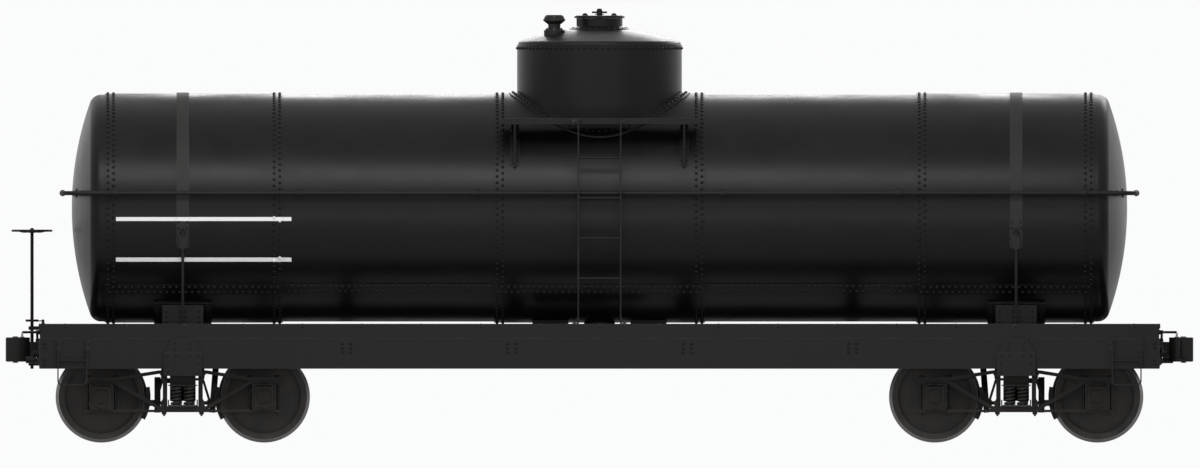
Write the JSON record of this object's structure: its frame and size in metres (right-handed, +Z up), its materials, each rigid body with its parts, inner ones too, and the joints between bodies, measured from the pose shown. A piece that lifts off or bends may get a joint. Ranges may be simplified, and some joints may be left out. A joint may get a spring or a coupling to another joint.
{
  "type": "railway tank car",
  "caption": "Early riveted railway tank car: horizontal tank with an expansion dome, steel underframe with running boards, arch-bar trucks and knuckle couplers.",
  "frame": {"origin": "middle of the car, on the level of the wheel flanges' lowest points", "axes": "+X towards end a along the car, +Y to its left seen from end b, +Z up; end b, with the hand brake, is at -X"},
  "size_m": [11.5, 2.9006, 4.2029],
  "materials": {
    "tank_black": "satin black paint over riveted plate",
    "frame_black": "flat black paint, dusty",
    "cast_steel": "rough cast steel, black paint worn",
    "truck_steel": "black paint with road dust",
    "wheel_steel": "cast wheels, bright on the tread",
    "deck_wood": "weathered planks, painted black",
    "platform_wood": "weathered planks in a steel edge"
  },
  "bodies": {
    "car_body": {"tank": "tank_black", "dome": "tank_black", "manway_ring": "tank_black", "safety_valves": "cast_steel", "tank_bands": "tank_black", "tank_saddles": "frame_black", "tank_anchors": "frame_black", "centre_sill": "frame_black", "side_sills": "frame_black", "end_sills": "frame_black", "body_bolsters": "cast_steel", "jacking_pads": "frame_black", "cross_bearers": "frame_black", "running_boards": "deck_wood", "end_platforms": "deck_wood", "deck_edge": "frame_black", "handrail_sides": "frame_black", "handrail_ends": "frame_black", "ladders": "frame_black", "dome_platforms": "platform_wood", "sill_steps": "frame_black", "end_grab_irons": "frame_black", "coupler_a": "cast_steel", "coupler_b": "cast_steel", "draft_gears": "cast_steel", "uncoupling_levers": "frame_black", "brake_cylinder": "frame_black", "brake_rigging": "frame_black", "train_pipe": "frame_black", "hand_brake_bracket": "frame_black", "bottom_outlet": "frame_black", "heater_pipes": "frame_black"},
    "truck_a": {"truck_a_side_frames": "truck_steel", "truck_a_journal_boxes": "cast_steel", "truck_a_bolster": "cast_steel", "truck_a_springs": "truck_steel", "truck_a_brake_beams": "truck_steel"},
    "truck_b": {"truck_b_side_frames": "truck_steel", "truck_b_journal_boxes": "cast_steel", "truck_b_bolster": "cast_steel", "truck_b_springs": "truck_steel", "truck_b_brake_beams": "truck_steel"},
    "wheelset_a1": {"wheelset_a1": "wheel_steel"},
    "wheelset_a2": {"wheelset_a2": "wheel_steel"},
    "wheelset_b1": {"wheelset_b1": "wheel_steel"},
    "wheelset_b2": {"wheelset_b2": "wheel_steel"},
    "manway_lid": {"dome_cover": "tank_black", "cover_handle": "tank_black"},
    "knuckle_a": {"knuckle_a": "cast_steel"},
    "knuckle_b": {"knuckle_b": "cast_steel"},
    "hand_brake": {"brake_staff": "frame_black"}
  },
  "joints": [
    {"name": "truck_a_swivel", "type": "hinge", "parent": "car_body", "child": "truck_a", "pos_m": [4.035, 0, 0.665], "axis": [0, 0, 1], "range_deg": [-6, 6]},
    {"name": "truck_b_swivel", "type": "hinge", "parent": "car_body", "child": "truck_b", "pos_m": [-4.035, 0, 0.665], "axis": [0, 0, 1], "range_deg": [-6, 6]},
    {"name": "wheelset_a1_turn", "type": "hinge", "parent": "truck_a", "child": "wheelset_a1", "pos_m": [4.8225, 0, 0.444], "axis": [0, 1, 0], "continuous": true},
    {"name": "wheelset_a2_turn", "type": "hinge", "parent": "truck_a", "child": "wheelset_a2", "pos_m": [3.2475, 0, 0.444], "axis": [0, 1, 0], "continuous": true},
    {"name": "wheelset_b1_turn", "type": "hinge", "parent": "truck_b", "child": "wheelset_b1", "pos_m": [-4.8225, 0, 0.444], "axis": [0, 1, 0], "continuous": true},
    {"name": "wheelset_b2_turn", "type": "hinge", "parent": "truck_b", "child": "wheelset_b2", "pos_m": [-3.2475, 0, 0.444], "axis": [0, 1, 0], "continuous": true},
    {"name": "manway_lid_hinge", "type": "hinge", "parent": "car_body", "child": "manway_lid", "pos_m": [0, 0.285, 4.095], "axis": [-1, 0, 0], "range_deg": [0, 110]},
    {"name": "knuckle_a_hinge", "type": "hinge", "parent": "car_body", "child": "knuckle_a", "pos_m": [5.655, -0.1, 0.901], "axis": [0, 0, -1], "range_deg": [0, 50]},
    {"name": "knuckle_b_hinge", "type": "hinge", "parent": "car_body", "child": "knuckle_b", "pos_m": [-5.655, 0.1, 0.901], "axis": [0, 0, -1], "range_deg": [0, 50]},
    {"name": "hand_brake_turn", "type": "hinge", "parent": "car_body", "child": "hand_brake", "pos_m": [-5.495, 0.48, 1.1], "axis": [0, 0, 1], "continuous": true}
  ]
}
